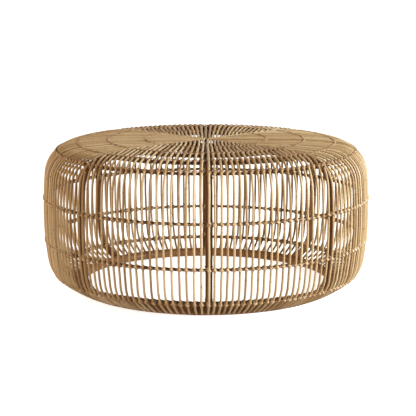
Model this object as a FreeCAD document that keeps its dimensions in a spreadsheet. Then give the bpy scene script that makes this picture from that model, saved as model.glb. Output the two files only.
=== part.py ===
"""Round rattan drum table, made of bent canes over a frame of poles.

Frame: +Z up, origin on the floor under the middle of the table, -Y is the front.
Everything follows one outline, a chain of tangent arcs from the foot to the flat top.
Canes are the outermost layer, thin hoops and poles lie against their inner side.
"""
import FreeCAD, Part

import math
import os

from FreeCAD import Placement, Rotation, Vector

UP = Vector(0, 0, 1)
CENTRE = Vector(0, 0, 0)

# Driving dimensions: millimetres, degrees and counts.
SIZES = {
    # outline of the outer surface, from the foot up
    "table_radius": 450.0,
    "widest_height": 212.0,
    "foot_arc_radius": 350.0,
    "foot_arc_angle": 7.3,
    "tuck_arc_radius": 81.0,
    "tuck_arc_angle": 46.3,
    "lower_side_radius": 845.0,
    "lower_side_angle": 8.9,
    "upper_side_radius": 1258.0,
    "upper_side_angle": 5.1,
    "shoulder_radius": 86.0,
    "shoulder_angle": 77.9,
    "crown_radius": 1150.0,
    "crown_angle": 7.0,
    # canes
    "cane_diameter": 6.0,
    "cane_count": 160,
    "seam_cane_number": 21,
    "top_lean": 0.5,
    "straighten_depth": 99.0,
    "seam_clearance": 7.5,
    "cane_centre_gap": 7.0,
    # thin hoops: three are set by height, one by height at the shoulder, three by radius
    "thin_hoop_diameter": 7.0,
    "near_base_height": 47.0,
    "lower_height": 138.0,
    "middle_height": 254.0,
    "shoulder_height": 376.0,
    "top_outer_radius": 353.0,
    "top_middle_radius": 270.0,
    "top_inner_radius": 168.0,
    "notch_clearance": 0.1,
    # frame poles
    "base_pole_diameter": 25.0,
    "base_pole_radius": 352.0,
    "base_pole_height": 11.7,
    "post_diameter": 18.0,
    "spoke_end_radius": 34.0,
    "plate_diameter": 150.0,
    "plate_thickness": 9.0,
    # screws and lashings
    "screw_diameter": 4.0,
    "screw_head_diameter": 8.0,
    "screw_head_height": 2.5,
    "foot_screw_length": 55.0,
    "foot_screw_slope": 35.0,
    "plate_screw_length": 22.0,
    "plate_screw_circle": 55.0,
    "lashing_width": 1.8,
    "lashing_thickness": 0.7,
    "lashing_clearance": 0.7,
    "lashing_pole_gap": 13.0,
}

doc = FreeCAD.newDocument("rattan_table")
sheet = doc.addObject("Spreadsheet::Sheet", "Sizes")
for row, (name, value) in enumerate(SIZES.items(), start=1):
    sheet.set(f"A{row}", name)
    sheet.set(f"B{row}", str(value))
    sheet.setAlias(f"B{row}", name)
doc.recompute()


def size(name):
    """Value of one driving dimension, read from the sheet."""
    return float(sheet.get(name))


def polar(radius, degrees, height=0.0):
    """Point at a radius and a bearing, where bearing 0 is the front and 90 the right."""
    angle = math.radians(degrees)
    return Vector(radius * math.sin(angle), -radius * math.cos(angle), height)


def bearing_placement(degrees):
    """Placement that turns a piece made in the front half-plane to a bearing."""
    return Placement(CENTRE, Rotation(UP, degrees))


# ---------------------------------------------------------------- outline

class Arc:
    """One arc of the outline in the (radius, height) half-plane.

    Angles are those of the outward normal: 0 points outwards, 90 points up.
    """

    def __init__(self, centre, radius, start, end):
        self.centre = centre
        self.radius = radius
        self.start = start
        self.end = end

    def at(self, angle, depth=0.0):
        """Point on the arc, moved inwards by a depth."""
        reach = self.radius - depth
        turn = math.radians(angle)
        return (self.centre[0] + reach * math.cos(turn), self.centre[1] + reach * math.sin(turn))

    def corner(self, depth=0.0):
        """Meeting point of the tangents at the arc's two ends."""
        half = math.radians((self.end - self.start) / 2.0)
        middle = math.radians((self.end + self.start) / 2.0)
        reach = (self.radius - depth) / math.cos(half)
        return (self.centre[0] + reach * math.cos(middle), self.centre[1] + reach * math.sin(middle))

    def split(self, count):
        """The same arc as a number of equal shorter ones."""
        step = (self.end - self.start) / count
        return [
            Arc(self.centre, self.radius, self.start + i * step, self.start + (i + 1) * step)
            for i in range(count)
        ]


def chain(start_point, start_angle, steps):
    """Tangent arcs one after another; each step is (radius, signed turn)."""
    arcs = []
    point = start_point
    angle = start_angle
    for radius, turn in steps:
        normal = math.radians(angle)
        centre = (point[0] - radius * math.cos(normal), point[1] - radius * math.sin(normal))
        arc = Arc(centre, radius, angle, angle + turn)
        arcs.append(arc)
        point = arc.at(arc.end)
        angle += turn
    return arcs


widest = (size("table_radius"), size("widest_height"))
upper_side, shoulder, crown = chain(widest, 0.0, [
    (size("upper_side_radius"), size("upper_side_angle")),
    (size("shoulder_radius"), size("shoulder_angle")),
    (size("crown_radius"), size("crown_angle")),
])
lower_side, tuck, foot = chain(widest, 0.0, [
    (size("lower_side_radius"), -size("lower_side_angle")),
    (size("tuck_arc_radius"), -size("tuck_arc_angle")),
    (size("foot_arc_radius"), -size("foot_arc_angle")),
])
TOP_HEIGHT = crown.at(90.0)[1]

CANE_DEPTH = size("cane_diameter") / 2.0
HOOP_DEPTH = size("cane_diameter") + size("thin_hoop_diameter") / 2.0
POST_DEPTH = size("cane_diameter") + size("post_diameter") / 2.0


def height_on(arc, radius, depth):
    """Height of the offset outline where it has a radius, on the upper part."""
    reach = arc.radius - depth
    return arc.centre[1] + math.sqrt(reach ** 2 - (radius - arc.centre[0]) ** 2)


def radius_on(arc, height, depth):
    """Radius of the offset outline at a height, on the side."""
    reach = arc.radius - depth
    return arc.centre[0] + math.sqrt(reach ** 2 - (height - arc.centre[1]) ** 2)


# ---------------------------------------------------------------- thin hoops

HOOPS = {
    "near_base_hoop": (radius_on(tuck, size("near_base_height"), HOOP_DEPTH),
                       size("near_base_height")),
    "lower_hoop": (radius_on(lower_side, size("lower_height"), HOOP_DEPTH),
                   size("lower_height")),
    "middle_hoop": (radius_on(upper_side, size("middle_height"), HOOP_DEPTH),
                    size("middle_height")),
    "shoulder_hoop": (radius_on(shoulder, size("shoulder_height"), HOOP_DEPTH),
                      size("shoulder_height")),
    "top_outer_hoop": (size("top_outer_radius"),
                       height_on(crown, size("top_outer_radius"), HOOP_DEPTH)),
    "top_middle_hoop": (size("top_middle_radius"),
                        height_on(crown, size("top_middle_radius"), HOOP_DEPTH)),
    "top_inner_hoop": (size("top_inner_radius"), TOP_HEIGHT - HOOP_DEPTH),
}

# The inner top hoop has no arc, because it lies under the flat middle of the top.
HOOP_ARCS = {
    "near_base_hoop": tuck,
    "lower_hoop": lower_side,
    "middle_hoop": upper_side,
    "shoulder_hoop": shoulder,
    "top_outer_hoop": crown,
    "top_middle_hoop": crown,
}
SIDE_HOOPS = ("middle_hoop", "shoulder_hoop")
POST_LASHED_HOOPS = ("near_base_hoop", "lower_hoop") + SIDE_HOOPS

# The hoops' places follow from the outline, so they are added to the sheet as results.
next_row = len(SIZES) + 1
for name, (radius, height) in HOOPS.items():
    for suffix, value in (("circle", radius), ("level", height)):
        sheet.set(f"A{next_row}", f"{name}_{suffix}")
        sheet.set(f"B{next_row}", f"{value:.4f}")
        sheet.setAlias(f"B{next_row}", f"{name}_{suffix}")
        next_row += 1
doc.recompute()

subparts = []


def keep(feature, label):
    """Name a finished sub-part and put it on the list that is written out."""
    feature.Label = label
    subparts.append(feature)
    return feature


def torus(name, circle, tube, level):
    """Ring about the table's axis, its sizes given as expressions on the sheet."""
    ring = doc.addObject("Part::Torus", name)
    ring.setExpression("Radius1", circle)
    ring.setExpression("Radius2", tube)
    ring.setExpression("Placement.Base.z", level)
    return ring


def make_thin_hoops():
    """Seven closed hoops of thin cane on the inner side of the canes."""
    for name in HOOPS:
        keep(torus(name, f"Sizes.{name}_circle", "Sizes.thin_hoop_diameter / 2",
                   f"Sizes.{name}_level"), name)


# ---------------------------------------------------------------- screws

def screw(name, length):
    """Flat-headed screw along +Z, its head's face at the origin."""
    shank = doc.addObject("Part::Cylinder", f"{name}_shank")
    shank.setExpression("Radius", "Sizes.screw_diameter / 2")
    shank.setExpression("Height", f"Sizes.{length}")
    head = doc.addObject("Part::Cone", f"{name}_head")
    head.setExpression("Radius1", "Sizes.screw_head_diameter / 2")
    head.setExpression("Radius2", "Sizes.screw_diameter / 2")
    head.setExpression("Height", "Sizes.screw_head_height")
    whole = doc.addObject("Part::Fuse", name)
    whole.Base = shank
    whole.Tool = head
    return whole


def make_screws():
    """The two kinds of screw, placed for the front post."""
    foot_screw = screw("foot_screw", "foot_screw_length")
    slope = size("foot_screw_slope")
    rise = math.radians(slope)
    seat = size("base_pole_diameter") / 2.0
    start = polar(size("base_pole_radius") - seat * math.cos(rise), 0.0,
                  size("base_pole_height") - seat * math.sin(rise))
    foot_screw.Placement = Placement(start, Rotation(UP, polar(math.cos(rise), 0.0, math.sin(rise))))
    plate_screw = screw("plate_screw", "plate_screw_length")
    underside = TOP_HEIGHT - size("cane_diameter") - size("post_diameter") - size("plate_thickness")
    plate_screw.Placement = Placement(polar(size("plate_screw_circle"), 0.0, underside), Rotation())
    return foot_screw, plate_screw


# ---------------------------------------------------------------- frame poles

cane_step = 360.0 / size("cane_count")
seam = size("seam_cane_number") * cane_step
POSTS = {
    "front_post": 0.0,
    "front_right_post": seam,
    "right_post": 90.0,
    "back_right_post": 180.0 - seam,
    "back_post": 180.0,
    "back_left_post": 180.0 + seam,
    "left_post": 270.0,
    "front_left_post": 360.0 - seam,
}


def around(shape, bearings):
    """Compound of a shape made at the front, turned to several bearings."""
    copies = []
    for degrees in bearings:
        copy = shape.copy()
        copy.rotate(CENTRE, UP, degrees)
        copies.append(copy)
    return Part.makeCompound(copies)


def pole_bend(name, arc):
    """Piece of round pole bent along one arc of the outline, in the front half-plane."""
    bend = doc.addObject("Part::Torus", name)
    bend.Radius1 = arc.radius - POST_DEPTH
    bend.setExpression("Radius2", "Sizes.post_diameter / 2")
    bend.Angle3 = abs(arc.end - arc.start)
    start = min(arc.start, arc.end)
    outward = polar(1.0, 0.0)
    turned = Rotation(outward, UP, outward.cross(UP), "XYZ")
    bend.Placement = Placement(
        polar(arc.centre[0], 0.0, arc.centre[1]),
        turned.multiply(Rotation(UP, start)),
    )
    return bend


def make_posts(foot_screw, plate_screw):
    """Eight bent poles: foot on the base hoop, up the side, and in under the top as a spoke."""
    pieces = [
        pole_bend("post_foot", foot),
        pole_bend("post_tuck", tuck),
        pole_bend("post_lower_side", lower_side),
        pole_bend("post_upper_side", upper_side),
        pole_bend("post_shoulder", shoulder),
        pole_bend("post_crown", crown),
    ]
    spoke = doc.addObject("Part::Cylinder", "post_spoke")
    spoke.setExpression("Radius", "Sizes.post_diameter / 2")
    spoke.Height = crown.centre[0] - size("spoke_end_radius")
    spoke.Placement = Placement(
        polar(size("spoke_end_radius"), 0.0, TOP_HEIGHT - POST_DEPTH),
        Rotation(UP, polar(1.0, 0.0)),
    )
    blank = doc.addObject("Part::MultiFuse", "post_blank")
    blank.Shapes = pieces + [spoke]

    tools = [
        torus(f"{name}_notch", f"Sizes.{name}_circle",
              "Sizes.thin_hoop_diameter / 2 + Sizes.notch_clearance", f"Sizes.{name}_level")
        for name in HOOPS
    ]
    tools.append(torus("base_hoop_saddle", "Sizes.base_pole_radius",
                       "Sizes.base_pole_diameter / 2", "Sizes.base_pole_height"))
    cutters = doc.addObject("Part::MultiFuse", "post_cutters")
    cutters.Shapes = tools
    notched = doc.addObject("Part::Cut", "notched_post")
    notched.Base = blank
    notched.Tool = cutters
    screws = doc.addObject("Part::MultiFuse", "post_screw_holes")
    screws.Shapes = [foot_screw, plate_screw]
    bored = doc.addObject("Part::Cut", "bored_post")
    bored.Base = notched
    bored.Tool = screws
    for name, degrees in POSTS.items():
        post = doc.addObject("Part::Compound", name)
        post.Links = [bored]
        post.Placement = bearing_placement(degrees)
        keep(post, name)


def make_base_hoop(foot_screw):
    """Thick closed hoop that the table stands on, planed flat underneath."""
    ring = torus("base_hoop_ring", "Sizes.base_pole_radius", "Sizes.base_pole_diameter / 2",
                 "Sizes.base_pole_height")
    waste = doc.addObject("Part::Box", "base_hoop_waste")
    waste.setExpression("Length", "Sizes.table_radius * 2")
    waste.setExpression("Width", "Sizes.table_radius * 2")
    waste.setExpression("Height", "Sizes.base_pole_diameter")
    waste.setExpression("Placement.Base.x", "-Sizes.table_radius")
    waste.setExpression("Placement.Base.y", "-Sizes.table_radius")
    waste.setExpression("Placement.Base.z", "-Sizes.base_pole_diameter")
    planed = doc.addObject("Part::Cut", "planed_hoop")
    planed.Base = ring
    planed.Tool = waste
    holes = doc.addObject("Part::Feature", "base_hoop_holes")
    doc.recompute()
    holes.Shape = around(foot_screw.Shape, POSTS.values())
    bored = doc.addObject("Part::Cut", "bored_hoop")
    bored.Base = planed
    bored.Tool = holes
    keep(bored, "base_hoop")


def make_centre_plate(plate_screw):
    """Round plywood plate that ties the inner ends of the eight spokes together."""
    disc = doc.addObject("Part::Cylinder", "plate_disc")
    disc.setExpression("Radius", "Sizes.plate_diameter / 2")
    disc.setExpression("Height", "Sizes.plate_thickness")
    disc.Placement = Placement(
        Vector(0, 0, TOP_HEIGHT - size("cane_diameter") - size("post_diameter")
               - size("plate_thickness")),
        Rotation(),
    )
    holes = doc.addObject("Part::Feature", "plate_holes")
    doc.recompute()
    holes.Shape = around(plate_screw.Shape, POSTS.values())
    plate = doc.addObject("Part::Cut", "plate")
    plate.Base = disc
    plate.Tool = holes
    keep(plate, "centre_plate")


def make_screw_sets(foot_screw, plate_screw):
    """Eight screws of each kind, one of each to a post."""
    for master, label in ((foot_screw, "foot_screws"), (plate_screw, "plate_screws")):
        group = doc.addObject("Part::Feature", label)
        group.Shape = around(master.Shape, POSTS.values())
        keep(group, label)


# ---------------------------------------------------------------- canes

SIDE_SPLITS = {"shoulder": 3, "crown": 1}
SHORTEST_RUN = 22.0
FILLET_SHARE = 0.45
STRAIGHT_TURN = math.radians(0.05)


def on_line(start, direction, radius):
    """First point along a level line where it reaches a smaller distance from the axis."""
    along = start.x * direction.x + start.y * direction.y
    inside = along ** 2 - (start.x ** 2 + start.y ** 2 - radius ** 2)
    return start + direction * (-along - math.sqrt(inside))


def top_route(offset, seam_half_angle):
    """Corner points of one cane from its widest point up, over and in to its end.

    The offset is the cane's bearing from the middle of its quarter of the top. Over the
    shoulder the cane leans by half that bearing, and near the middle it runs straight in.
    It ends beside the seam where two quarters meet.
    """
    on_seam = abs(offset - seam_half_angle) < cane_step / 4.0
    lean = offset if on_seam else offset * size("top_lean")
    level_start = polar(widest[0] - CANE_DEPTH, offset)
    inward = polar(-1.0, lean)
    corners = shoulder.split(SIDE_SPLITS["shoulder"]) + crown.split(SIDE_SPLITS["crown"])
    route = [Vector(level_start.x, level_start.y, widest[1])]
    side_corner = upper_side.corner(CANE_DEPTH)
    route.append(Vector(level_start.x, level_start.y, side_corner[1]))
    for arc in corners:
        radius, height = arc.corner(CANE_DEPTH)
        point = on_line(level_start, inward, radius)
        route.append(Vector(point.x, point.y, height))
    flat = TOP_HEIGHT - CANE_DEPTH
    if on_seam:
        end = polar(size("cane_centre_gap"), offset, flat)
        return route + [end]
    bend_steps = (-size("straighten_depth") - level_start.y) / inward.y
    bend = level_start + inward * bend_steps
    route.append(Vector(bend.x, bend.y, flat))
    route.append(Vector(bend.x, 0.0, flat))
    return trim_at_seam(route, seam_half_angle)


def trim_at_seam(route, seam_half_angle):
    """Cut a route where it comes within the clearance of the seam line."""
    across = polar(1.0, seam_half_angle + 90.0)
    clearance = size("seam_clearance")
    kept = [route[0]]
    for first, second in zip(route, route[1:]):
        gap_first = -first.dot(across)
        gap_second = -second.dot(across)
        if gap_second < clearance:
            share = max((gap_first - clearance) / (gap_first - gap_second), 0.0)
            end = first + (second - first) * share
            if (end - first).Length < SHORTEST_RUN and len(kept) > 2:
                kept.pop()
            kept.append(end)
            return kept
        kept.append(second)
    return kept


def rounded_edges(route):
    """Straight runs joined by tangent arcs, as edges."""
    edges = []
    start = route[0]
    for before, corner, after in zip(route, route[1:], route[2:]):
        run_in = corner - before
        run_out = after - corner
        turn = run_in.getAngle(run_out)
        if turn < STRAIGHT_TURN:
            continue
        tangent = FILLET_SHARE * min(run_in.Length, run_out.Length)
        enter = corner - run_in.normalize() * tangent
        leave = corner + run_out.normalize() * tangent
        bisector = (enter + leave) * 0.5 - corner
        radius = tangent / math.tan(turn / 2.0)
        centre_distance = radius / math.cos(turn / 2.0)
        middle = corner + bisector.normalize() * (centre_distance - radius)
        edges.append(Part.LineSegment(start, enter).toShape())
        edges.append(Part.Arc(enter, middle, leave).toShape())
        start = leave
    edges.append(Part.LineSegment(start, route[-1]).toShape())
    return edges


def side_edges(offset):
    """Exact arcs of one cane below its widest point, from the foot up."""
    edges = []
    for arc in (foot, tuck, lower_side):
        ends = [arc.at(angle, CANE_DEPTH) for angle in
                (arc.end, (arc.start + arc.end) / 2.0, arc.start)]
        points = [polar(radius, offset, height) for radius, height in ends]
        edges.append(Part.Arc(*points).toShape())
    return edges


def cane_solid(offset, seam_half_angle):
    """One cane swept along its route from the base hoop to its end on the top."""
    route = top_route(offset, seam_half_angle)
    path = Part.Wire(side_edges(offset) + rounded_edges(route))
    start = path.Edges[0].valueAt(path.Edges[0].FirstParameter)
    direction = path.Edges[0].tangentAt(path.Edges[0].FirstParameter)
    ring = Part.Wire(Part.makeCircle(size("cane_diameter") / 2.0, start, direction))
    solid = path.makePipeShell([ring], True, False)
    return solid, route


def quarter_of(number):
    """Middle bearing, signed offset and seam half angle of a cane, by its number."""
    count = int(size("cane_count"))
    seam_number = int(size("seam_cane_number"))
    half = count // 2
    within = (number + seam_number) % half - seam_number
    if within <= seam_number:
        middle = 180.0 if (number + seam_number) % count >= half else 0.0
        return middle, within * cane_step, seam
    middle = 90.0 if number < half else 270.0
    return middle, (number - round(middle / cane_step)) * cane_step, 90.0 - seam


BAY_NAMES = [
    "front_right_bay_canes",
    "right_front_bay_canes",
    "right_back_bay_canes",
    "back_right_bay_canes",
    "back_left_bay_canes",
    "left_back_bay_canes",
    "left_front_bay_canes",
    "front_left_bay_canes",
]


def make_canes():
    """All canes, grouped by the bay between two posts; those over a post are apart.

    Returns the corner points of each cane's route by its number.
    """
    masters = {}
    groups = {name: [] for name in BAY_NAMES}
    groups["post_canes"] = []
    routes = {}
    post_bearings = list(POSTS.values())
    for number in range(int(size("cane_count"))):
        middle, offset, half_angle = quarter_of(number)
        key = (round(abs(offset), 3), half_angle)
        if key not in masters:
            masters[key] = cane_solid(abs(offset), half_angle)
        solid, route = masters[key]
        mirrored = offset < 0
        copy = solid.mirror(CENTRE, Vector(1, 0, 0)) if mirrored else solid.copy()
        copy.rotate(CENTRE, UP, middle)
        turn = Rotation(UP, middle)
        routes[number] = [
            turn.multVec(Vector(-point.x if mirrored else point.x, point.y, point.z))
            for point in route
        ]
        bearing = number * cane_step
        if any(abs(bearing - post) < cane_step / 2.0 for post in post_bearings):
            groups["post_canes"].append(copy)
        else:
            bay = sum(1 for post in post_bearings if post < bearing) - 1
            groups[BAY_NAMES[bay]].append(copy)
    for name, solids in groups.items():
        feature = doc.addObject("Part::Feature", name)
        feature.Shape = Part.makeCompound(solids)
        keep(feature, name)
    return routes


# ---------------------------------------------------------------- lashings

def hoop_normal(name, bearing):
    """Outward normal of the outline over a hoop."""
    if name not in HOOP_ARCS:
        return UP
    arc = HOOP_ARCS[name]
    radius, height = HOOPS[name]
    turn = math.atan2(height - arc.centre[1], radius - arc.centre[0])
    return polar(math.cos(turn), bearing, math.sin(turn))


def distance_out(point):
    """Distance of a point from the table's axis."""
    return math.hypot(point.x, point.y)


def crossing(route, number, name):
    """Bearing at which a cane crosses a hoop and the cane's direction there, or None."""
    radius, height = HOOPS[name]
    upright = number * cane_step
    if height < widest[1]:
        return upright, hoop_normal(name, upright).cross(polar(1.0, upright + 90.0))
    centre = polar(radius, upright, height) + hoop_normal(name, upright) * (HOOP_DEPTH - CANE_DEPTH)
    for first, second in zip(route, route[1:]):
        if name in SIDE_HOOPS:
            start, end, wanted = first.z, second.z, centre.z
        else:
            start, end, wanted = distance_out(first), distance_out(second), distance_out(centre)
        if min(start, end) <= wanted < max(start, end):
            along = second - first
            point = first + along * ((wanted - start) / (end - start))
            return math.degrees(math.atan2(point.x, -point.y)), along.normalize()
    return None


def beside_pole(bearing, radius):
    """Whether a place lies over a post or its spoke, or too near for a lashing."""
    for post in POSTS.values():
        turn = math.radians(bearing - post)
        if math.cos(turn) > 0 and abs(radius * math.sin(turn)) < size("lashing_pole_gap"):
            return True
    return False


def lashing(name, bearing, along, over_pole=False):
    """Flat ring of split cane round a hoop and the cane that crosses it, set slantwise.

    Over a pole the ring takes in the pole as well, and is centred where it is smallest: the
    slant of 45 degrees cuts the pole in an oval, and the ring touches both that and the cane.
    """
    outward = hoop_normal(name, bearing)
    radius, height = HOOPS[name]
    hoop = polar(radius, bearing, height)
    cane = size("cane_diameter")
    pole = size("post_diameter") / 2.0
    if over_pole:
        reach = pole + cane
        shift = math.sqrt(2.0 * reach ** 2 - 2.0 * pole ** 2) - reach
        middle = hoop + outward * (HOOP_DEPTH - POST_DEPTH + shift)
        inner = reach - shift + size("lashing_clearance")
    else:
        middle = hoop + outward * (cane / 2.0)
        inner = (cane + size("thin_hoop_diameter")) / 2.0 + size("lashing_clearance")
    width = size("lashing_width")
    hoop_way = polar(1.0, bearing + 90.0)
    sense = 1.0 if along.dot(hoop_way) >= 0 else -1.0
    slant = (along + hoop_way * sense).normalize()
    axis = slant.cross(outward).normalize()
    start = middle - axis * (width / 2.0)
    disc = Part.makeCylinder(inner + size("lashing_thickness"), width, start, axis)
    return disc.cut(Part.makeCylinder(inner, width, start, axis))


def make_lashings(routes):
    """A ring of split cane round each crossing of a cane and a thin hoop.

    On the side, the ring at a post takes in the post. Crossings on a spoke have none, since
    the canes lie too close together over it and are tacked to it.
    """
    post_numbers = [round(bearing / cane_step) for bearing in POSTS.values()]
    for name, (radius, _) in HOOPS.items():
        rings = []
        for number, route in routes.items():
            found = crossing(route, number, name)
            if found is None:
                continue
            if number in post_numbers and name in POST_LASHED_HOOPS:
                rings.append(lashing(name, *found, over_pole=True))
            elif not beside_pole(found[0], radius):
                rings.append(lashing(name, *found))
        group = doc.addObject("Part::Feature", f"{name}_lashings")
        group.Shape = Part.makeCompound(rings)
        keep(group, f"{name}_lashings")


# ---------------------------------------------------------------- assembly

make_thin_hoops()
front_foot_screw, front_plate_screw = make_screws()
make_posts(front_foot_screw, front_plate_screw)
make_base_hoop(front_foot_screw)
make_centre_plate(front_plate_screw)
make_screw_sets(front_foot_screw, front_plate_screw)
cane_routes = make_canes()
make_lashings(cane_routes)
doc.recompute()

for item in doc.Objects:
    if "Invalid" in item.State or "Error" in item.State:
        raise RuntimeError(f"{item.Name} did not recompute: {item.State}")
for part in subparts:
    if part.Shape.isNull() or not part.Shape.isValid():
        raise RuntimeError(f"{part.Label} has no valid shape")

os.makedirs("parts", exist_ok=True)
for part in subparts:
    part.Shape.exportStep(f"parts/{part.Label}.step")
    box = part.Shape.BoundBox
    print(f"{part.Label}: {len(part.Shape.Solids)} solid(s), {part.Shape.Volume / 1000.0:.1f} cm3, "
          f"z {box.ZMin:.1f} to {box.ZMax:.1f}")
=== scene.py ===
"""Looks of a round rattan drum table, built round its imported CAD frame.

Metres, +Z up, origin on the floor under the middle of the table, -Y is the front.
Bearings are in degrees: 0 is the front and 90 the right. Depths are measured inwards
from the table's outline, a chain of tangent arcs from the foot to the flat top.
"""

import math
import random

import bpy
import numpy as np
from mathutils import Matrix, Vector


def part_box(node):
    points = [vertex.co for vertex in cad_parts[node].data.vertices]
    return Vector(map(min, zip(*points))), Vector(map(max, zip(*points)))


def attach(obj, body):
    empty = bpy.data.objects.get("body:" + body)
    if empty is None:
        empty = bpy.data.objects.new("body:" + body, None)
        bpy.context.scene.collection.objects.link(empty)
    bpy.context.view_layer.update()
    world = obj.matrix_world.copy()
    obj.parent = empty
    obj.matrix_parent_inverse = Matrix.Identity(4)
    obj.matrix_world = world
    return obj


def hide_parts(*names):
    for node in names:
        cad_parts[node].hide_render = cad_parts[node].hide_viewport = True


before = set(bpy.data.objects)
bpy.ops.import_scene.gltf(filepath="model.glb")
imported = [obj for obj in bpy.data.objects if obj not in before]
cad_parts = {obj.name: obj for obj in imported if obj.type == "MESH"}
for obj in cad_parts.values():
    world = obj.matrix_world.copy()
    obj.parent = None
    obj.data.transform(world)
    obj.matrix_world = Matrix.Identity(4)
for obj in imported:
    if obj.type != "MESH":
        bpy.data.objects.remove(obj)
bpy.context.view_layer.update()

MM = 0.001
SEED = 160

# ---------------------------------------------------------------- sizes

CANE_COUNT = 160
CANE_STEP = 360.0 / CANE_COUNT
SEAM_CANE = 21
SEAM_BEARING = SEAM_CANE * CANE_STEP
CANE_RADIUS = 3.0 * MM
POST_RADIUS = 9.0 * MM
BASE_POLE_RADIUS = 12.5 * MM
CANE_DEPTH = CANE_RADIUS
HOOP_DEPTH = 9.5 * MM
POST_DEPTH = 15.0 * MM

THIN_HOOPS = [
    "near_base_hoop",
    "lower_hoop",
    "middle_hoop",
    "shoulder_hoop",
    "top_outer_hoop",
    "top_middle_hoop",
    "top_inner_hoop",
]
SIDE_HOOPS = THIN_HOOPS[:4]
POSTS = {
    "front_post": 0,
    "front_right_post": SEAM_CANE,
    "right_post": CANE_COUNT // 4,
    "back_right_post": CANE_COUNT // 2 - SEAM_CANE,
    "back_post": CANE_COUNT // 2,
    "back_left_post": CANE_COUNT // 2 + SEAM_CANE,
    "left_post": CANE_COUNT * 3 // 4,
    "front_left_post": CANE_COUNT - SEAM_CANE,
}
BAYS = [
    "front_right_bay_canes",
    "right_front_bay_canes",
    "right_back_bay_canes",
    "back_right_bay_canes",
    "back_left_bay_canes",
    "left_back_bay_canes",
    "left_front_bay_canes",
    "front_left_bay_canes",
]


def unit(vectors):
    """Vectors scaled to length 1, along the last axis."""
    return vectors / np.linalg.norm(vectors, axis=-1, keepdims=True)


def polar(radius, degrees, height=0.0):
    """Points at a radius, bearing and height."""
    radius, degrees, height = np.broadcast_arrays(radius, degrees, height)
    turn = np.radians(degrees)
    return np.stack([radius * np.sin(turn), -radius * np.cos(turn), height], axis=-1)


# ---------------------------------------------------------------- outline

class Arc:
    """One arc of the outline; angles are those of its outward normal, 90 pointing up."""

    def __init__(self, centre, radius, start, end):
        self.centre = centre
        self.radius = radius
        self.start = start
        self.end = end

    def at(self, angle, depth=0.0):
        """Radius and height on the arc, moved inwards by a depth."""
        turn = np.radians(angle)
        reach = self.radius - depth
        return self.centre[0] + reach * np.cos(turn), self.centre[1] + reach * np.sin(turn)


def chain(start, steps):
    """Tangent arcs one after another from the widest point; each step is (radius, turn)."""
    arcs = []
    point, angle = start, 0.0
    for radius, turn in steps:
        normal = math.radians(angle)
        centre = (point[0] - radius * math.cos(normal), point[1] - radius * math.sin(normal))
        arc = Arc(centre, radius, angle, angle + turn)
        arcs.append(arc)
        point, angle = arc.at(arc.end), arc.end
    return arcs


# Radius and height of the widest point, and the arcs from there up and down.
WIDEST = (0.450, 0.212)
UPPER = chain(WIDEST, [(1.258, 5.1), (0.086, 77.9), (1.150, 7.0)])
LOWER = chain(WIDEST, [(0.845, -8.9), (0.081, -46.3), (0.350, -7.3)])
TOP_HEIGHT = UPPER[-1].at(90.0)[1]


def outline(arcs, depth, spacing):
    """Radii, heights and normal angles along arcs, at about an even spacing."""
    angles, radii, heights = [], [], []
    for arc in arcs:
        turn = math.radians(abs(arc.end - arc.start))
        count = max(2, math.ceil(turn * (arc.radius - depth) / spacing))
        steps = np.linspace(arc.start, arc.end, count + 1)[(1 if angles else 0):]
        radius, height = arc.at(steps, depth)
        angles.append(steps)
        radii.append(radius)
        heights.append(height)
    return np.concatenate(radii), np.concatenate(heights), np.concatenate(angles)


def side_and_top(depth, spacing):
    """The whole outline from the foot up to where the flat of the top starts."""
    down = outline(LOWER, depth, spacing)
    up = outline(UPPER, depth, spacing)
    return [np.concatenate([low[:0:-1], high]) for low, high in zip(down, up)]


def along_of(path):
    """Distance along a path at each of its points."""
    return np.concatenate([[0.0], np.cumsum(np.linalg.norm(np.diff(path, axis=0), axis=1))])


def resampled(path, outward, stations):
    """A path and its outward directions at new distances along it."""
    along = along_of(path)
    points = np.stack([np.interp(stations, along, path[:, i]) for i in range(3)], axis=-1)
    normals = np.stack([np.interp(stations, along, outward[:, i]) for i in range(3)], axis=-1)
    return points, unit(normals)


# ---------------------------------------------------------------- strands

# Bevel of a sawn end: its length, and the size of the end face as a share of the section.
CHAMFER = 0.5 * MM
CHAMFER_SCALE = 0.8

# Waves of a hand-bent strand: (height, length) shares, and the sum of the heights.
RIPPLE_WAVES = [(1.0, 1.0), (0.6, 0.55), (0.35, 0.3)]
RIPPLE_PEAK = 1.95
RIPPLE_LENGTH_RANGE = (0.8, 1.2)
THICKNESS_WAVE_LENGTH = 0.3
THICKNESS_WAVE = 0.012
COURSE_WAVE_LENGTH = 0.22

# Leaf joint: stations and reaches in strand radii, heights as shares of the radius.
JOINT_STATIONS = np.array([-2.4, -1.0, -0.35, 0.0, 0.35, 1.0, 2.4])
JOINT_SWELL = 0.055
JOINT_SWELL_REACH = 1.3
JOINT_GROOVE = 0.06
JOINT_GROOVE_REACH = 0.25
JOINT_MARK_REACH = 0.45
# Distance in metres at which a strand without a joint is taken to be from one.
CLEAR_OF_JOINTS = 1.0

# The grain of each strand starts at a place of its own, within this distance in metres.
GRAIN_STARTS = (0.0, 50.0)


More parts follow.
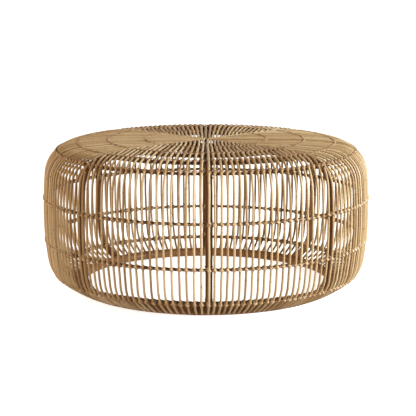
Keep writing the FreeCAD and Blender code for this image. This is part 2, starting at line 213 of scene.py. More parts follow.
class Strands:
    """Swept strands gathered into one mesh, with the values that the materials read.

    grain is the place in the strand (along it, across it, outward), tone is the strand's
    own random shade, joint marks the rings where leaves once grew, cut marks sawn ends.
    """

    def __init__(self):
        self.points = []
        self.faces = []
        self.grain = []
        self.marks = {"tone": [], "joint": [], "cut": []}
        self.count = 0

    def sweep(self, path, outward, sections, tone, joint=None, closed=False, start=0.0):
        """Adds one strand: sections (stations, corners, 2) swept along a path."""
        ahead = np.roll(path, -1, axis=0) - np.roll(path, 1, axis=0)
        if not closed:
            ahead[0] = path[1] - path[0]
            ahead[-1] = path[-1] - path[-2]
        ahead = unit(ahead)
        joint = np.zeros(len(path)) if joint is None else joint
        along = along_of(path) + start
        cut = np.zeros(len(path))
        if not closed:
            path = np.concatenate(
                [path[:1] - ahead[:1] * CHAMFER, path, path[-1:] + ahead[-1:] * CHAMFER])
            sections = np.concatenate(
                [sections[:1] * CHAMFER_SCALE, sections, sections[-1:] * CHAMFER_SCALE])
            ahead, outward, joint, along = (
                np.concatenate([a[:1], a, a[-1:]]) for a in (ahead, outward, joint, along))
            cut = np.concatenate([[1.0], cut, [1.0]])
        outward = unit(outward - np.sum(outward * ahead, axis=-1, keepdims=True) * ahead)
        across = np.cross(outward, ahead)
        stations, corners = sections.shape[:2]
        points = (path[:, None] + sections[..., :1] * across[:, None]
                  + sections[..., 1:] * outward[:, None])
        grain = np.concatenate(
            [np.broadcast_to(along[:, None, None], (stations, corners, 1)), sections], axis=-1)
        rows = np.arange(stations if closed else stations - 1)[:, None]
        this = np.arange(corners)[None]
        after = (this + 1) % corners
        above = (rows + 1) % stations
        faces = np.stack([rows * corners + this, rows * corners + after,
                          above * corners + after, above * corners + this], axis=-1)
        self.faces.extend((faces.reshape(-1, 4) + self.count).tolist())
        if not closed:
            last = self.count + (stations - 1) * corners
            self.faces.append(list(range(self.count + corners - 1, self.count - 1, -1)))
            self.faces.append(list(range(last, last + corners)))
        self.points.append(points.reshape(-1, 3))
        self.grain.append(grain.reshape(-1, 3))
        self.marks["tone"].append(np.full(stations * corners, tone))
        self.marks["joint"].append(np.repeat(joint, corners))
        self.marks["cut"].append(np.repeat(cut, corners))
        self.count += stations * corners

    def piece(self, name, material, slot, *nodes):
        """Makes the object, which rides on the table and stands for its CAD nodes."""
        mesh = bpy.data.meshes.new(name)
        mesh.from_pydata(np.concatenate(self.points).tolist(), [], self.faces)
        attribute = mesh.attributes.new("grain", "FLOAT_VECTOR", "POINT")
        attribute.data.foreach_set("vector", np.concatenate(self.grain).astype(np.float32).ravel())
        for mark, values in self.marks.items():
            attribute = mesh.attributes.new(mark, "FLOAT", "POINT")
            attribute.data.foreach_set("value", np.concatenate(values).astype(np.float32))
        mesh.polygons.foreach_set("use_smooth", np.ones(len(mesh.polygons), bool))
        mesh.materials.append(material)
        mesh.update()
        settle(bpy.data.objects.new(name, mesh), slot, *nodes)


def settle(piece, slot, *nodes):
    """Links a piece to the scene, on the table's one body, in place of its CAD nodes."""
    bpy.context.scene.collection.objects.link(piece)
    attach(piece, "root")
    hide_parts(*nodes)


def ripple(along, rng, length, size):
    """Slow random wander of a hand-bent strand about its course."""
    total = np.zeros(len(along))
    for height, stretch in RIPPLE_WAVES:
        phase = rng.uniform(0.0, math.tau)
        wave = length * stretch * rng.uniform(*RIPPLE_LENGTH_RANGE)
        total += height * np.sin(math.tau * along / wave + phase)
    return size * total / RIPPLE_PEAK


def joints_on(length, rng, shortest, longest):
    """Distances of the leaf joints along a strand."""
    places = []
    place = rng.uniform(0.0, longest)
    while place < length:
        places.append(place)
        place += rng.uniform(shortest, longest)
    return np.array(places)


def hump(distance, reach):
    """Smooth hump of height 1 that fades with the distance from it."""
    return np.exp(-(distance / reach) ** 2)


def round_sections(radii, corners):
    """Circles of the given radii, turning counter-clockwise as seen from ahead."""
    turn = np.arange(corners) * math.tau / corners
    circle = np.stack([np.cos(turn), np.sin(turn)], axis=-1)
    return radii[:, None, None] * circle[None]


def rattan_strand(strands, path, outward, radius, rng, corners, wander, joint_gap,
                  extra=(), shape=None):
    """Sweeps one length of rattan with its leaf joints and a slight hand-bent wander.

    wander is how far it strays sideways and joint_gap the shortest and longest distance
    between joints. extra are more stations wanted along it, and shape may change its
    sections, given the stations and the sections.
    """
    length = along_of(path)[-1]
    places = joints_on(length, rng, *joint_gap)
    near = JOINT_STATIONS * radius
    wanted = np.concatenate([along_of(path), (places[:, None] + near).ravel(), np.asarray(extra)])
    stations = np.unique(wanted[(wanted >= 0.0) & (wanted <= length)].round(5))
    path, outward = resampled(path, outward, stations)
    if len(places):
        gap = np.abs(stations[:, None] - places[None]).min(axis=1)
    else:
        gap = stations + CLEAR_OF_JOINTS
    swell = JOINT_SWELL * hump(gap, JOINT_SWELL_REACH * radius)
    groove = JOINT_GROOVE * hump(gap, JOINT_GROOVE_REACH * radius)
    uneven = ripple(stations, rng, THICKNESS_WAVE_LENGTH, THICKNESS_WAVE)
    thick = radius * (1.0 + swell - groove + uneven)
    sideways = unit(np.cross(outward, unit(np.gradient(path, axis=0))))
    path = path + sideways * ripple(stations, rng, COURSE_WAVE_LENGTH, wander)[:, None]
    sections = round_sections(thick, corners)
    if shape:
        sections = shape(stations, sections)
    strands.sweep(path, outward, sections, rng.random(), hump(gap, JOINT_MARK_REACH * radius),
                  start=rng.uniform(*GRAIN_STARTS))


# ---------------------------------------------------------------- materials

# Noise waves in a metre along a strand, across it and outward.
FIBRES = (22.0, 900.0, 900.0)
STREAKS = (9.0, 260.0, 260.0)
BLOTCHES = (11.0, 30.0, 30.0)
COAT_ROUGHNESS = 0.3
RATTAN_SPECULAR = 0.25
RELIEF_DEPTH = 0.3 * MM
ZINC_RELIEF_DEPTH = 0.05 * MM


def material_with(name):
    """A new node material with its tree and its shader."""
    material = bpy.data.materials.new(name)
    material.use_nodes = True
    tree = material.node_tree
    return material, tree, tree.nodes["Principled BSDF"]


def node(tree, kind, **values):
    """A node with some of its inputs or properties set."""
    made = tree.nodes.new(kind)
    for key, value in values.items():
        if key in made.inputs:
            made.inputs[key].default_value = value
        else:
            setattr(made, key, value)
    return made


def read_mark(tree, name, output="Fac"):
    """Output of the attribute that the strands carry under a name."""
    return node(tree, "ShaderNodeAttribute", attribute_name=name).outputs[output]


def stretched_noise(tree, place, scale, detail, offset=(0.0, 0.0, 0.0)):
    """Noise on a place, stretched by its scale along, across and outward."""
    mapping = node(tree, "ShaderNodeMapping")
    mapping.inputs["Scale"].default_value = scale
    mapping.inputs["Location"].default_value = offset
    tree.links.new(place, mapping.inputs["Vector"])
    texture = node(tree, "ShaderNodeTexNoise", Scale=1.0, Detail=detail, Roughness=0.6)
    tree.links.new(mapping.outputs["Vector"], texture.inputs["Vector"])
    return texture.outputs["Fac"]


def sums(tree, *terms):
    """Sum of (socket, weight) terms and a plain number last."""
    total = terms[-1]
    for socket, weight in terms[:-1]:
        step = node(tree, "ShaderNodeMath", operation="MULTIPLY_ADD")
        tree.links.new(socket, step.inputs[0])
        step.inputs[1].default_value = weight
        if isinstance(total, float):
            step.inputs[2].default_value = total
        else:
            tree.links.new(total, step.inputs[2])
        total = step.outputs[0]
    return total


def ramp(tree, factor, stops):
    """Colour ramp with (place, colour) stops."""
    made = node(tree, "ShaderNodeValToRGB")
    tree.links.new(factor, made.inputs["Fac"])
    elements = made.color_ramp.elements
    while len(elements) < len(stops):
        elements.new(0.5)
    for element, (place, colour) in zip(elements, stops):
        element.position = place
        element.color = (*colour, 1.0)
    return made.outputs["Color"]


def mixed(tree, factor, first, second):
    """A colour output mixed by a factor output towards another or a plain colour."""
    mix = node(tree, "ShaderNodeMix", data_type="RGBA")
    tree.links.new(factor, mix.inputs["Factor"])
    tree.links.new(first, mix.inputs["A"])
    if isinstance(second, tuple):
        mix.inputs["B"].default_value = (*second, 1.0)
    else:
        tree.links.new(second, mix.inputs["B"])
    return mix.outputs["Result"]


def add_relief(tree, shader, height, strength, depth):
    """Bumps the shader's surface by a height output."""
    relief = node(tree, "ShaderNodeBump", Strength=strength, Distance=depth)
    tree.links.new(height, relief.inputs["Height"])
    tree.links.new(relief.outputs["Normal"], shader.inputs["Normal"])


def rattan(name, shades, joint_colour, pith, roughness, coat, bump):
    """Varnished rattan: fibres along the strand, blotches, darker leaf joints, pale cut ends."""
    material, tree, shader = material_with(name)
    place = read_mark(tree, "grain", "Vector")
    fibres = stretched_noise(tree, place, FIBRES, 3.0)
    streaks = stretched_noise(tree, place, STREAKS, 2.0, (3.1, 7.7, 1.9))
    blotches = stretched_noise(tree, place, BLOTCHES, 2.0, (9.3, 2.2, 5.5))
    tone = read_mark(tree, "tone")
    blend = sums(tree, (fibres, 0.28), (streaks, 0.35), (blotches, 0.42), (tone, 0.55), -0.3)
    colour = ramp(tree, blend, shades)
    joint = read_mark(tree, "joint")
    colour = mixed(tree, sums(tree, (joint, 0.62), 0.0), colour, joint_colour)
    colour = mixed(tree, read_mark(tree, "cut"), colour, pith)
    tree.links.new(colour, shader.inputs["Base Color"])
    # 0.17 is what the streaks and fibres add on average.
    dullness = sums(tree, (streaks, 0.22), (fibres, 0.12), (joint, 0.15), roughness - 0.17)
    tree.links.new(dullness, shader.inputs["Roughness"])
    shader.inputs["Coat Weight"].default_value = coat
    shader.inputs["Coat Roughness"].default_value = COAT_ROUGHNESS
    shader.inputs["Specular IOR Level"].default_value = RATTAN_SPECULAR
    height = sums(tree, (fibres, 0.7), (streaks, 0.5), 0.0)
    add_relief(tree, shader, height, bump, RELIEF_DEPTH)
    return material


def plywood(name):
    """Plywood: grain on the faces and thin layers round the edge."""
    material, tree, shader = material_with(name)
    place = node(tree, "ShaderNodeTexCoord").outputs["Object"]
    grain = stretched_noise(tree, place, (14.0, 260.0, 260.0), 4.0)
    figure = stretched_noise(tree, place, (3.0, 40.0, 40.0), 2.0, (5.0, 1.0, 0.0))
    face = ramp(tree, sums(tree, (grain, 0.5), (figure, 0.5), 0.0),
                [(0.3, (0.30, 0.17, 0.08)), (0.55, (0.50, 0.33, 0.18)), (0.8, (0.62, 0.45, 0.27))])
    layers = node(tree, "ShaderNodeTexWave", bands_direction="Z", Scale=110.0, Distortion=0.4)
    tree.links.new(place, layers.inputs["Vector"])
    edge = ramp(tree, layers.outputs["Fac"], [(0.35, (0.16, 0.08, 0.04)), (0.6, (0.46, 0.31, 0.17))])
    upright = node(tree, "ShaderNodeSeparateXYZ")
    tree.links.new(node(tree, "ShaderNodeNewGeometry").outputs["Normal"], upright.inputs[0])
    level = node(tree, "ShaderNodeMath", operation="ABSOLUTE")
    tree.links.new(upright.outputs["Z"], level.inputs[0])
    tree.links.new(mixed(tree, level.outputs[0], edge, face), shader.inputs["Base Color"])
    tree.links.new(sums(tree, (grain, 0.3), 0.5), shader.inputs["Roughness"])
    add_relief(tree, shader, grain, 0.4, RELIEF_DEPTH)
    return material


def zinc(name):
    """Zinc-plated steel with fine turning marks and dull patches."""
    material, tree, shader = material_with(name)
    place = node(tree, "ShaderNodeTexCoord").outputs["Object"]
    marks = stretched_noise(tree, place, (4000.0, 4000.0, 4000.0), 2.0)
    patches = stretched_noise(tree, place, (220.0, 220.0, 220.0), 3.0)
    colour = ramp(tree, patches, [(0.35, (0.40, 0.40, 0.38)), (0.65, (0.66, 0.66, 0.63))])
    tree.links.new(colour, shader.inputs["Base Color"])
    tree.links.new(sums(tree, (marks, 0.15), (patches, 0.25), 0.2), shader.inputs["Roughness"])
    shader.inputs["Metallic"].default_value = 1.0
    add_relief(tree, shader, marks, 0.2, ZINC_RELIEF_DEPTH)
    return material


CANE = rattan(
    "honey_cane",
    shades=[(0.15, (0.270, 0.150, 0.060)), (0.42, (0.420, 0.270, 0.125)),
            (0.66, (0.530, 0.370, 0.195)), (0.90, (0.620, 0.470, 0.280))],
    joint_colour=(0.140, 0.070, 0.028),
    pith=(0.52, 0.40, 0.24),
    roughness=0.45,
    coat=0.08,
    bump=0.5,
)
# The hoops' dark brown is partly their own colour and partly painted shade, the shade cast by the
# canes over them.
HOOP = rattan(
    "hoop_cane_and_painted_shade",
    shades=[(0.15, (0.060, 0.024, 0.008)), (0.5, (0.115, 0.050, 0.018)),
            (0.85, (0.190, 0.095, 0.040))],
    joint_colour=(0.040, 0.016, 0.006),
    pith=(0.38, 0.27, 0.16),
    roughness=0.50,
    coat=0.03,
    bump=0.5,
)
POLE = rattan(
    "red_brown_pole",
    shades=[(0.15, (0.118, 0.045, 0.014)), (0.5, (0.228, 0.100, 0.034)),
            (0.85, (0.360, 0.190, 0.075))],
    joint_colour=(0.050, 0.018, 0.006),
    pith=(0.36, 0.26, 0.15),
    roughness=0.50,
    coat=0.03,
    bump=0.6,
)
# The darkest stop mostly colours the strips between the knots, toned dark as painted shade where they
# lie between the canes.
BINDING = rattan(
    "binding_cane",
    shades=[(0.22, (0.110, 0.045, 0.014)), (0.48, (0.360, 0.200, 0.082)),
            (0.80, (0.680, 0.510, 0.310))],
    joint_colour=(0.160, 0.070, 0.025),
    pith=(0.50, 0.38, 0.22),
    roughness=0.35,
    coat=0.15,
    bump=0.4,
)
PLYWOOD = plywood("plywood")
ZINC = zinc("zinc_plated_steel")


# ---------------------------------------------------------------- thin hoops

HOOP_SPACING = 5.0 * MM
HOOP_CORNERS = 12
HOOP_WANDER = 0.25 * MM
HOOP_JOINT_GAP = (0.16, 0.34)
# Distance of each end of a hoop's centre line from the place where the ends meet.
HOOP_END_GAP = 1.4 * MM


class Hoop:
    """A thin hoop's circle, level, tube radius and outward normal angle, from its CAD node."""

    def __init__(self, name):
        low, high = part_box(name)
        self.name = name
        self.tube = (high.z - low.z) / 2.0
        self.circle = high.x - self.tube
        self.level = (high.z + low.z) / 2.0
        radii, heights, angles = side_and_top(HOOP_DEPTH, 1.0 * MM)
        nearest = np.argmin(np.hypot(radii - self.circle, heights - self.level))
        self.angle = 90.0 if self.circle < radii[-1] else angles[nearest]

    def outward(self, bearing):
        """Outward normal of the outline over the hoop at a bearing."""
        turn = math.radians(self.angle)
        return polar(math.cos(turn), bearing, math.sin(turn))


HOOPS = {name: Hoop(name) for name in THIN_HOOPS}


def ring_path(circle, level, first_bearing, spacing):
    """Points round a circle and their bearings, from a joint back to just before it."""
    count = math.ceil(math.tau * circle / spacing)
    gap = math.degrees(HOOP_END_GAP / circle)
    bearings = first_bearing + np.linspace(gap, 360.0 - gap, count)
    return polar(circle, bearings, level), bearings


def make_hoop(hoop, rng):
    """One thin hoop, its two ends meeting on a post."""
    joint_bearing = rng.choice(list(POSTS.values())) * CANE_STEP
    path, bearings = ring_path(hoop.circle, hoop.level, joint_bearing, HOOP_SPACING)
    strands = Strands()
    rattan_strand(strands, path, hoop.outward(bearings), hoop.tube, rng, HOOP_CORNERS,
                  HOOP_WANDER, HOOP_JOINT_GAP)
    strands.piece(f"{hoop.name}_rattan", HOOP, "thin_hoop", hoop.name)


# ---------------------------------------------------------------- canes

CANE_SPACING = 6.0 * MM
CANE_CORNERS = 10
CANE_WANDER = 0.55 * MM
CANE_JOINT_GAP = (0.14, 0.36)
# Degrees by which a cane's own place may differ from its neighbours' common stray.
CANE_SCATTER = 0.12

# A cane leans on the top by this share of its bearing in its quarter, then bends softly
# parallel to the quarter's axis where it comes this near the middle.
TOP_LEAN = 0.5
STRAIGHTEN_DEPTH = 99.0 * MM
BEND_SOFTNESS = 35.0 * MM
# Distance of a cane's end from the line of the seam, and of a seam cane's from the middle.
SEAM_CLEARANCE = 7.5 * MM
CANE_CENTRE_GAP = 7.0 * MM
SEAM_RUN_POINTS = 32
RUN_POINTS = 12
BEND_POINTS = 9
STRAIGHT_POINTS = 14

# The four quarters of the top: (middle cane, canes each side of it, half angle).
QUARTERS = [
    (0, SEAM_CANE, SEAM_BEARING),
    (CANE_COUNT // 4, SEAM_CANE - 3, 90.0 - SEAM_BEARING),
    (CANE_COUNT // 2, SEAM_CANE, SEAM_BEARING),
    (CANE_COUNT * 3 // 4, SEAM_CANE - 3, 90.0 - SEAM_BEARING),
]
# How far the hand-set canes stray from even spacing: (bearing, degrees) knots.
STRAY_KNOTS = [
    (-180.0, 0.1), (-150.0, -0.35), (-132.75, 0.0), (-105.0, 0.4), (-75.0, -0.3),
    (-47.25, 0.0), (-22.5, -0.85), (-6.75, 0.45), (0.0, 1.0), (2.25, 0.6), (6.75, 0.3),
    (20.25, -0.9), (42.0, -0.6), (47.25, 0.0), (70.0, 0.4), (90.0, 0.1), (110.0, -0.3),
    (132.75, 0.0), (155.0, 0.35), (180.0, 0.1),
]

# How far two of the posts stand off from the cane that lies on them, in degrees.
POST_STRAY = {POSTS["front_right_post"]: 0.8, POSTS["front_left_post"]: -0.55}


def stray(bearing):
    """Distance in degrees of a cane from its even place."""
    wrapped = (bearing + 180.0) % 360.0 - 180.0
    places, amounts = zip(*STRAY_KNOTS)
    return float(np.interp(wrapped, places, amounts))


def post_bearing(number):
    """Bearing of the post that a cane lies on; it stands about where the cane was set."""
    return number * CANE_STEP + stray(number * CANE_STEP) + POST_STRAY.get(number, 0.0)


def straightened(last, start, inward):
    """Plan of a leaning cane on the flat top, from its last point there to its end."""
    bend = start + inward * ((-STRAIGHTEN_DEPTH - start[1]) / inward[1])
    enter = bend - inward * BEND_SOFTNESS
    leave = bend + np.array([0.0, BEND_SOFTNESS])
    share = np.linspace(0.0, 1.0, BEND_POINTS)[:, None]
    curve = enter * (1 - share) ** 2 + bend * 2 * share * (1 - share) + leave * share ** 2
    run = np.linspace(last, enter, RUN_POINTS)[1:-1]
    straight = np.linspace(leave, [bend[0], 0.0], STRAIGHT_POINTS)[1:]
    return np.concatenate([run, curve, straight])


def cut_at_seam(plan, heights, angles, half_angle):
    """A cane's line up to where it comes near the seam of its quarter."""
    gap = -plan @ polar(1.0, half_angle + 90.0)[:2]
    past = np.flatnonzero(gap < SEAM_CLEARANCE)
    if not len(past):
        return plan, heights, angles
    end = past[0]
    share = (gap[end - 1] - SEAM_CLEARANCE) / (gap[end - 1] - gap[end])
    plan[end] = plan[end - 1] + (plan[end] - plan[end - 1]) * share
    heights[end] = heights[end - 1] + (heights[end] - heights[end - 1]) * share
    return plan[:end + 1], heights[:end + 1], angles[:end + 1]


def quarter_path(offset, lean, half_angle, on_seam):
    """Plan, heights and normal angles of a cane in its quarter, seen as the front one."""
    radii, heights, angles = side_and_top(CANE_DEPTH, CANE_SPACING)
    start = polar(WIDEST[0] - CANE_DEPTH, offset)[:2]
    inward = polar(-1.0, lean)[:2]
    # Above the widest point the cane runs straight along its lean as the outline narrows.
    toward = start @ inward
    reach = -toward - np.sqrt(np.maximum(toward ** 2 - (start @ start - radii ** 2), 0.0))
    reach = np.where(heights > WIDEST[1], reach, 0.0)
    side = np.where(heights > WIDEST[1], WIDEST[0] - CANE_DEPTH, radii) / (WIDEST[0] - CANE_DEPTH)
    plan = start[None] * side[:, None] + reach[:, None] * inward[None]
    if on_seam:
        end = polar(CANE_CENTRE_GAP, offset)[:2]
        flat_plan = np.linspace(plan[-1], end, SEAM_RUN_POINTS)[1:]
    else:
        flat_plan = straightened(plan[-1], start, inward)
    plan = np.concatenate([plan, flat_plan])
    heights = np.concatenate([heights, np.full(len(flat_plan), TOP_HEIGHT - CANE_DEPTH)])
    angles = np.concatenate([angles, np.full(len(flat_plan), 90.0)])
    if on_seam:
        return plan, heights, angles
    return cut_at_seam(plan, heights, angles, half_angle)


def cane_path(number, middle, reach, half_angle, rng):
    """Centre line of one cane in the table's frame and its outward directions."""
    step = number - middle
    on_seam = abs(step) == SEAM_CANE and reach == SEAM_CANE
    offset = step * CANE_STEP
    if not on_seam:
        offset += stray(number * CANE_STEP)
        if number % CANE_COUNT not in POSTS.values():
            offset += rng.uniform(-CANE_SCATTER, CANE_SCATTER)
    sign = -1.0 if offset < 0 else 1.0
    lean = abs(offset) if on_seam else abs(offset) * TOP_LEAN
    plan, heights, angles = quarter_path(abs(offset), lean, half_angle, on_seam)
    turn = math.radians(middle * CANE_STEP)
    flat_x, flat_y = plan[:, 0] * sign, plan[:, 1]
    path = np.stack([
        flat_x * math.cos(turn) - flat_y * math.sin(turn),
        flat_x * math.sin(turn) + flat_y * math.cos(turn),
        heights,
    ], axis=-1)
    bearings = np.degrees(np.arctan2(path[:, 0], -path[:, 1]))
    return path, polar(np.cos(np.radians(angles)), bearings, np.sin(np.radians(angles)))


def bay_of(number):
    """Name of the CAD node that a cane belongs to."""
    if number in POSTS.values():
        return "post_canes"
    return BAYS[sum(1 for post in POSTS.values() if post < number) - 1]


def make_canes(rng):
    """All canes, one piece for each bay; returns each cane's centre line by its number."""
    groups = {name: Strands() for name in [*BAYS, "post_canes"]}
    paths = {}
    for middle, reach, half_angle in QUARTERS:
        for number in range(middle - reach, middle + reach + 1):
            path, outward = cane_path(number, middle, reach, half_angle, rng)
            paths[number % CANE_COUNT] = path
            rattan_strand(groups[bay_of(number % CANE_COUNT)], path, outward, CANE_RADIUS, rng,
                          CANE_CORNERS, CANE_WANDER, CANE_JOINT_GAP)
    for name, strands in groups.items():
        strands.piece(f"{name}_rattan", CANE, "cane", name)
    return paths


# ---------------------------------------------------------------- lashings

STRIP_HALF_WIDTH = 1.60 * MM
STRIP_THICKNESS = 0.95 * MM
# Flat underneath with bevelled upper edges, in half-widths and thicknesses.
STRIP_SECTION = np.array([
    (-1.0, -0.45), (1.0, -0.45), (1.0, 0.15), (0.5, 0.5), (-0.5, 0.5), (-1.0, 0.15),
]) * (STRIP_HALF_WIDTH, STRIP_THICKNESS)
# Distance from a post's or spoke's centre within which no plain lashing is made.
LASHING_POLE_GAP = 13.0 * MM

# One turn of strip round a crossing, pulled in to this share of the oval that it lies on.
# The turns laid the second way rise over the first by a share of the strip's thickness.
LOOP_CORNERS = 14
LOOP_TIGHTNESS = 0.93
SLANT_RANGE = (0.85, 1.15)
SLIP_RANGE = (0.95, 1.1)
CROSSED_LIFT = 0.8

# Strips wound round a hoop between two crossings, up to so many degrees apart.
WRAP_CORNERS = 9
WRAP_SHARES = (0.14, 0.86)
WRAP_TWIST = 1.4
WRAP_LIFT = 0.45
LONGEST_WRAP = 3.9

# Strips twisted into a cord in the gap between two canes.
CORD_CORNERS = 7
CORD_TWIST = 1.0
CORD_LEAD = math.pi / 4.0
CORD_TRIM = 0.7
CORD_DEPTH = 3.0 * MM
CORD_RADIUS = 2.1 * MM
SHORTEST_CORD = 2.5 * MM

# Darkest and palest tone of a strip in a knot and of one between the knots. The shoulder's
# knots count with those of the top. The top's knots are toned darker than the side's, and the
# strips between the knots darker still, as painted shade.
SIDE_KNOT_SHADES = (0.35, 1.0)
TOP_KNOT_TONES_WITH_PAINTED_SHADE = (0.25, 0.70)
PAINTED_SHADE_TURN_TONES = (-0.1, 0.3)


def crossing(path, hoop):
    """Bearing at which a cane crosses a hoop and the cane's direction there, or None."""
    centre = polar(hoop.circle, 0.0, hoop.level) + hoop.outward(0.0) * (HOOP_DEPTH - CANE_DEPTH)
    if hoop.name in SIDE_HOOPS:
        measure, wanted = path[:, 2], centre[2]
    else:
        measure, wanted = -np.hypot(path[:, 0], path[:, 1]), -math.hypot(centre[0], centre[1])
        measure = np.where(path[:, 2] < WIDEST[1], -1.0, measure)
    found = np.flatnonzero((measure[:-1] <= wanted) & (measure[1:] > wanted))
    if not len(found):
        return None
    at = found[0]
    share = (wanted - measure[at]) / (measure[at + 1] - measure[at])
    point = path[at] + (path[at + 1] - path[at]) * share
    return math.degrees(math.atan2(point[0], -point[1])), unit(path[at + 1] - path[at])


def beside_pole(bearing, radius):
    """Whether a place lies over a post or its spoke, or too near for a lashing."""
    for post in POSTS.values():
        turn = math.radians(bearing - post_bearing(post))
        if math.cos(turn) > 0 and abs(radius * math.sin(turn)) < LASHING_POLE_GAP:
            return True
    return False


def strip_loop(strands, middle, outward, slant, back, lean, slip, lift, shades, rng):
    """One turn of split cane round a cane and what lies behind it.

    middle is the cane's centre, slant the turn's direction over the cane, back the (radius,
    depth below the cane's centre) of the round thing behind it, and lean how far that thing
    lies off to one side. slip moves the turn sideways and lift raises it over the turns laid
    before it. shades are the darkest and the palest tone it may have.
    """
    turn = np.linspace(0.0, math.tau, LOOP_CORNERS, endpoint=False) - math.pi / 2.0
    over = lift + STRIP_THICKNESS / 2.0
    front = np.sin(turn) > 0
    # The plane of the turn cuts the round strands at 45 degrees, into ovals.
    tube = np.where(front, CANE_RADIUS, back[0])
    wide = (tube * math.sqrt(2.0) * LOOP_TIGHTNESS + over) * np.cos(turn)
    depth = np.where(front, 0.0, -back[1]) + (tube + over) * np.sin(turn)
    side = np.cross(outward, slant)
    path = middle + slant * wide[:, None] + outward * depth[:, None] + side * slip
    path = path - lean * (np.minimum(depth, 0.0) / (back[0] + back[1]))[:, None]
    facing = unit(slant * np.cos(turn)[:, None] + outward * np.sin(turn)[:, None])
    sections = np.broadcast_to(STRIP_SECTION, (LOOP_CORNERS, *STRIP_SECTION.shape))
    strands.sweep(path, facing, sections, rng.uniform(*shades), closed=True,
                  start=rng.uniform(*GRAIN_STARTS))


def lash(strands, hoop, bearing, ahead, post, rng):
    """One crossing bound with two turns each way; they take in the post as well, if any."""
    outward = hoop.outward(bearing)
    middle = polar(hoop.circle, bearing, hoop.level) + outward * (HOOP_DEPTH - CANE_DEPTH)
    around = polar(1.0, bearing + 90.0)
    if post is None:
        back, lean = (hoop.tube, HOOP_DEPTH - CANE_DEPTH), around * 0.0
    else:
        back = (POST_RADIUS, POST_DEPTH - CANE_DEPTH)
        lean = around * math.radians(post_bearing(post) - bearing) * hoop.circle
    # Knots on the top and the shoulder take the darker tones: painted shade.
    shades = SIDE_KNOT_SHADES if hoop.name in SIDE_HOOPS[:3] else TOP_KNOT_TONES_WITH_PAINTED_SHADE
    ahead = unit(ahead - outward * (ahead @ outward))
    for way, lift in ((1.0, 0.0), (-1.0, STRIP_THICKNESS * CROSSED_LIFT)):
        slant = unit(ahead + around * way * rng.uniform(*SLANT_RANGE))
        slip = STRIP_HALF_WIDTH * rng.uniform(*SLIP_RANGE)
        strip_loop(strands, middle, outward, slant, back, lean, slip, lift, shades, rng)
        strip_loop(strands, middle, outward, slant, back, lean, -slip, lift, shades, rng)


def strip_pair(strands, hoop, bearings, share, rise, radius, twist, lead, rng):
    """Two open strips half a turn apart, toned darker than the knots as painted shade, wound along the
    hoop.

    share runs from 0 at one crossing to 1 at the next, over which they make twist half
    turns, and lead is their turn half-way. They lie a radius off a line that is a rise
    further out than the hoop's own.
    """
    outward = hoop.outward(bearings)
    upward = np.cross(outward, polar(1.0, bearings + 90.0))
    core = polar(hoop.circle, bearings, hoop.level) + outward * rise
    sections = np.broadcast_to(STRIP_SECTION, (len(bearings), *STRIP_SECTION.shape))
    for phase in (0.0, math.pi):
        turn = phase + math.pi * (share - 0.5) * twist + lead
        facing = outward * np.cos(turn)[:, None] + upward * np.sin(turn)[:, None]
        strands.sweep(core + facing * radius, facing, sections, rng.uniform(*PAINTED_SHADE_TURN_TONES),
                      start=rng.uniform(*GRAIN_STARTS))


def wrap_between(strands, hoop, first, last, rng):
    """Two strips' slow turn round the hoop from one crossing to the next."""
    share = np.linspace(*WRAP_SHARES, WRAP_CORNERS)
    radius = hoop.tube + STRIP_THICKNESS * WRAP_LIFT
    bearings = first + (last - first) * share
    strip_pair(strands, hoop, bearings, share, 0.0, radius, WRAP_TWIST, 0.0, rng)


def cord_between(strands, hoop, first, last, rng):
    """Two strips twisted into a cord in the gap between two canes, level with the canes."""
    gap = math.radians(last - first) * hoop.circle - 2.0 * CANE_RADIUS
    if gap < SHORTEST_CORD:
        return
    trim = CANE_RADIUS / (gap + 2.0 * CANE_RADIUS) * CORD_TRIM
    share = np.linspace(trim, 1.0 - trim, CORD_CORNERS)
    bearings = first + (last - first) * share
    rise = HOOP_DEPTH - CORD_DEPTH
    strip_pair(strands, hoop, bearings, share, rise, CORD_RADIUS, CORD_TWIST, CORD_LEAD, rng)


def make_lashings(paths, rng):
    """The lashings of every thin hoop, one piece for each hoop."""
    for hoop in HOOPS.values():
        strands = Strands()
        bearings = []
        for number in sorted(paths):
            found = crossing(paths[number], hoop)
            if not found:
                continue
            post = number if number in POSTS.values() and hoop.name in SIDE_HOOPS else None
            bearing, ahead = found[0] % 360.0, found[1]
            if post is not None or not beside_pole(bearing, hoop.circle):
                lash(strands, hoop, bearing, ahead, post, rng)
            bearings.append(bearing)
        bearings.sort()
        for first, last in zip(bearings, bearings[1:] + [bearings[0] + 360.0]):
            if last - first > LONGEST_WRAP:
                continue
            cord_between(strands, hoop, first, last, rng)
            if not beside_pole((first + last) / 2.0, hoop.circle):
                wrap_between(strands, hoop, first, last, rng)
        strands.piece(f"{hoop.name}_lashing_strips", BINDING, "lashing", f"{hoop.name}_lashings")


# ---------------------------------------------------------------- posts and base hoop

POST_SPACING = 7.0 * MM
POST_CORNERS = 24
POST_WANDER = 0.3 * MM
POST_JOINT_GAP = (0.17, 0.3)
SPOKE_END_RADIUS = 34.0 * MM
SPOKE_POINTS = 30
NOTCH_CLEARANCE = 0.1 * MM
NOTCH_SEARCH_POINTS = 4000
# Stations across a notch, in radii of the notch.
NOTCH_STATIONS = np.array(
    [-1.15, -1.0, -0.93, -0.75, -0.5, -0.25, 0.0, 0.25, 0.5, 0.75, 0.93, 1.0, 1.15])
BASE_SPACING = 6.0 * MM
BASE_CORNERS = 28
BASE_JOINT_GAP = (0.2, 0.36)
BASE_JOINT_BEARING = 180.0


def post_path():
    """Centre line of a post with its spoke: radii, heights and normal angles."""
    radii, heights, angles = side_and_top(POST_DEPTH, POST_SPACING)
    flat = np.linspace(radii[-1], SPOKE_END_RADIUS, SPOKE_POINTS)[1:]
    level = np.full(len(flat), heights[-1])
    upright = np.full(len(flat), 90.0)
    return (np.concatenate([radii, flat]), np.concatenate([heights, level]),
            np.concatenate([angles, upright]))


